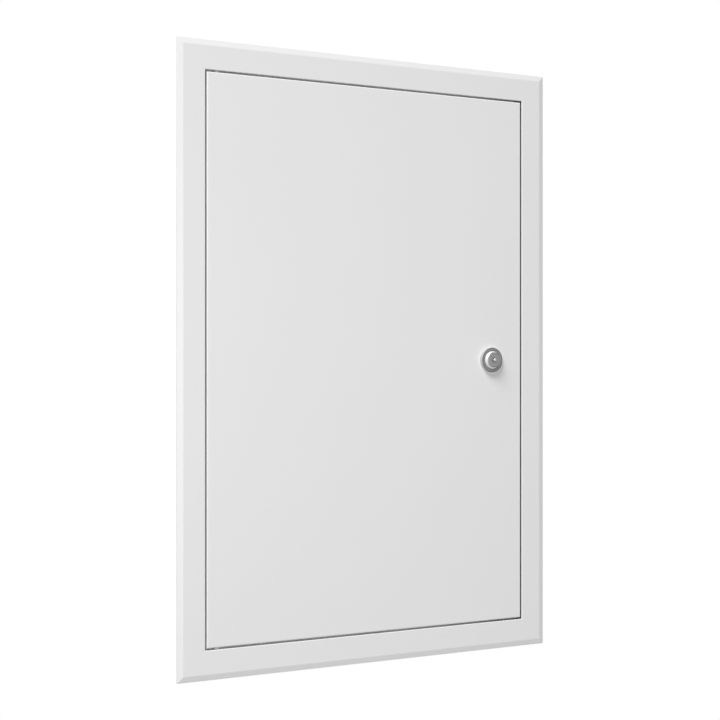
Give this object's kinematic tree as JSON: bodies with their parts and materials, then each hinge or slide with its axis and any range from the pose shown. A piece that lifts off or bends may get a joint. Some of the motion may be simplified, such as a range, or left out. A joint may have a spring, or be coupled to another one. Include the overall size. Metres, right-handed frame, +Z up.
{
  "type": "access panel",
  "caption": "Flush white steel access panel: bevelled picture-frame trim, hinged tray door on hidden pivot pins, and a round cam lock at mid-height.",
  "frame": {"origin": "middle of the bottom liner's seat, where the frame meets the wall's surface", "axes": "+X to the lock side, +Y into the wall, +Z up; the door faces -Y"},
  "size_m": [0.35, 0.0445, 0.5],
  "materials": {
    "white_coat": "matt white powder coat",
    "zinc_steel": "zinc-plated steel",
    "lock_chrome": "satin chrome"
  },
  "bodies": {
    "frame": {"trim_top": "white_coat", "trim_bottom": "white_coat", "trim_hinge_side": "white_coat", "trim_lock_side": "white_coat", "liner_top": "white_coat", "liner_bottom": "white_coat", "liner_hinge_side": "white_coat", "liner_lock_side": "white_coat", "strike_angle": "white_coat", "hinge_pin_top": "white_coat", "hinge_pin_bottom": "white_coat"},
    "door": {"door_leaf": "white_coat", "pivot_block_top": "zinc_steel", "pivot_block_bottom": "zinc_steel", "lock_body": "lock_chrome", "lock_washer": "zinc_steel", "lock_nut": "zinc_steel"},
    "latch": {"lock_plug": "lock_chrome", "lock_cam": "zinc_steel", "cam_washer": "zinc_steel", "cam_screw": "zinc_steel"}
  },
  "joints": [
    {"name": "door_hinge", "type": "hinge", "parent": "frame", "child": "door", "pos_m": [-0.1405, 0.003, 0.239], "axis": [0, 0, -1], "range_deg": [0, 100]},
    {"name": "lock_turn", "type": "hinge", "parent": "door", "child": "latch", "pos_m": [0.118, 0, 0.239], "axis": [0, -1, 0], "range_deg": [0, 90]}
  ]
}
